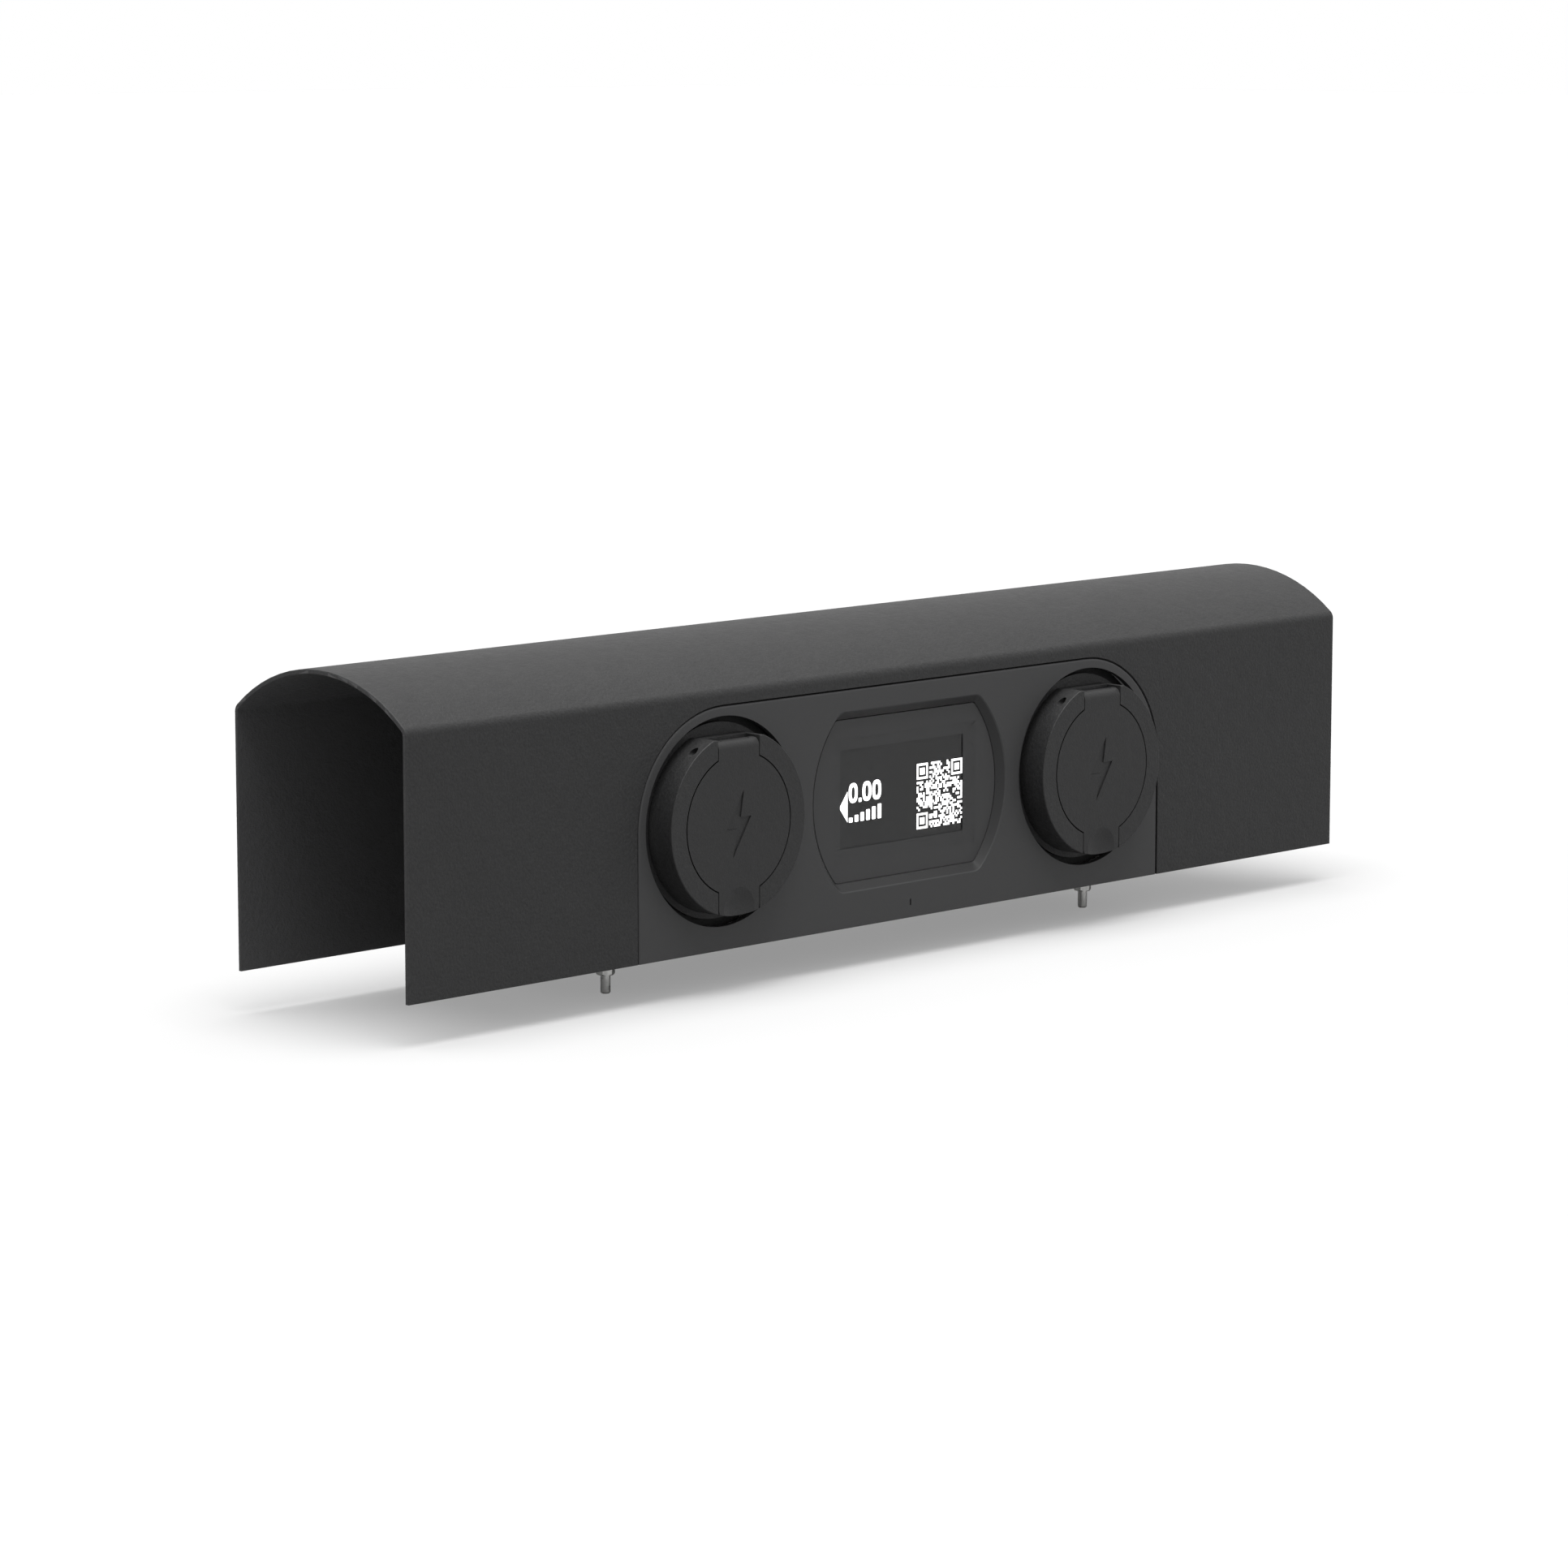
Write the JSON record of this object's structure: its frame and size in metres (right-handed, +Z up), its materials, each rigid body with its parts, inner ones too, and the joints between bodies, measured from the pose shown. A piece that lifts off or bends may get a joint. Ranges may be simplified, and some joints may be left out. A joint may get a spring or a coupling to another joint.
{
  "type": "twin-outlet ev charging head",
  "caption": "Beam-mounted EV charging head: arched hood with open ends, flush front module with flapped sockets and a barrel-shaped display window, on threaded studs.",
  "frame": {"origin": "on the seating plane under the base plate and the hood's bottom edge, midway between the four mounting studs", "axes": "+X runs along the hood, to the right seen from the front; the front with the outlets faces -Y; +Z is up, away from the beam"},
  "size_m": [0.81, 0.1635, 0.2073],
  "materials": {
    "hood_coat": "fine-textured matte powder coat",
    "base_coat": "fine-textured matte powder coat",
    "zinc_steel": "zinc plated",
    "stainless_steel": "plain stainless",
    "fascia_plastic": "satin moulded",
    "outlet_plastic": "satin, finely spark-eroded",
    "flap_plastic": "satin moulded",
    "seal_rubber": "matte",
    "window_tint": "smoked satin polycarbonate",
    "frame_plastic": "matte",
    "screen_glass": "low-glare display front",
    "circuit_board": "solder mask",
    "light_pipe": "frosted clear",
    "socket_plastic": "moulded glass-filled",
    "contact_metal": "silver plated",
    "actuator_plastic": "moulded",
    "enclosure_plastic": "moulded polycarbonate",
    "gland_plastic": "moulded polyamide",
    "module_plastic": "moulded",
    "cable_rubber": "matte sheath"
  },
  "bodies": {
    "main": {"base_plate": "base_coat", "carrier_plate": "zinc_steel", "controller_enclosure": "enclosure_plastic", "din_rail": "zinc_steel", "display_board": "circuit_board", "display_frame": "frame_plastic", "display_panel": "screen_glass", "display_screws": "zinc_steel", "display_window": "window_tint", "enclosure_feet": "enclosure_plastic", "enclosure_lid": "enclosure_plastic", "enclosure_screws": "zinc_steel", "enclosure_seal": "seal_rubber", "energy_meter": "module_plastic", "fascia": "fascia_plastic", "fascia_gasket": "seal_rubber", "fascia_screws": "zinc_steel", "hood": "hood_coat", "hood_nuts": "zinc_steel", "hood_weld_studs": "zinc_steel", "lead_glands": "gland_plastic", "left_contactor": "module_plastic", "left_current_sensor": "actuator_plastic", "left_hinge_pin": "stainless_steel", "left_lock_actuator": "actuator_plastic", "left_outlet_gasket": "seal_rubber", "left_outlet_housing": "outlet_plastic", "left_outlet_lead": "cable_rubber", "left_socket_contacts": "contact_metal", "left_socket_insert": "socket_plastic", "left_socket_rear_cover": "socket_plastic", "main_board": "circuit_board", "mounting_nuts": "zinc_steel", "mounting_studs": "zinc_steel", "mounting_washers": "zinc_steel", "outlet_screws": "zinc_steel", "power_supply": "module_plastic", "right_contactor": "module_plastic", "right_current_sensor": "actuator_plastic", "right_hinge_pin": "stainless_steel", "right_lock_actuator": "actuator_plastic", "right_outlet_gasket": "seal_rubber", "right_outlet_housing": "outlet_plastic", "right_outlet_lead": "cable_rubber", "right_socket_contacts": "contact_metal", "right_socket_insert": "socket_plastic", "right_socket_rear_cover": "socket_plastic", "status_light_pipe": "light_pipe", "supply_gland": "gland_plastic", "terminal_block": "module_plastic", "window_gasket": "seal_rubber"},
    "left_flap": {"left_flap": "flap_plastic", "left_flap_seal": "seal_rubber", "left_flap_spring": "stainless_steel"},
    "right_flap": {"right_flap": "flap_plastic", "right_flap_seal": "seal_rubber", "right_flap_spring": "stainless_steel"},
    "left_lock_pin": {"left_lock_pin": "stainless_steel"},
    "right_lock_pin": {"right_lock_pin": "stainless_steel"}
  },
  "joints": [
    {"name": "left_flap_hinge", "type": "hinge", "parent": "main", "child": "left_flap", "pos_m": [-0.16, -0.0825, 0.1218], "axis": [-1, 0, 0], "range_deg": [0, 110], "stiffness_Nm_per_rad": 0.03, "springref_deg": -28.65},
    {"name": "right_flap_hinge", "type": "hinge", "parent": "main", "child": "right_flap", "pos_m": [0.16, -0.0825, 0.1218], "axis": [-1, 0, 0], "range_deg": [0, 110], "stiffness_Nm_per_rad": 0.03, "springref_deg": -28.65},
    {"name": "left_lock_pin_slide", "type": "slide", "parent": "main", "child": "left_lock_pin", "axis": [0, 0, -1], "range_m": [0, 0.0055]},
    {"name": "right_lock_pin_slide", "type": "slide", "parent": "main", "child": "right_lock_pin", "axis": [0, 0, -1], "range_m": [0, 0.0055]}
  ]
}
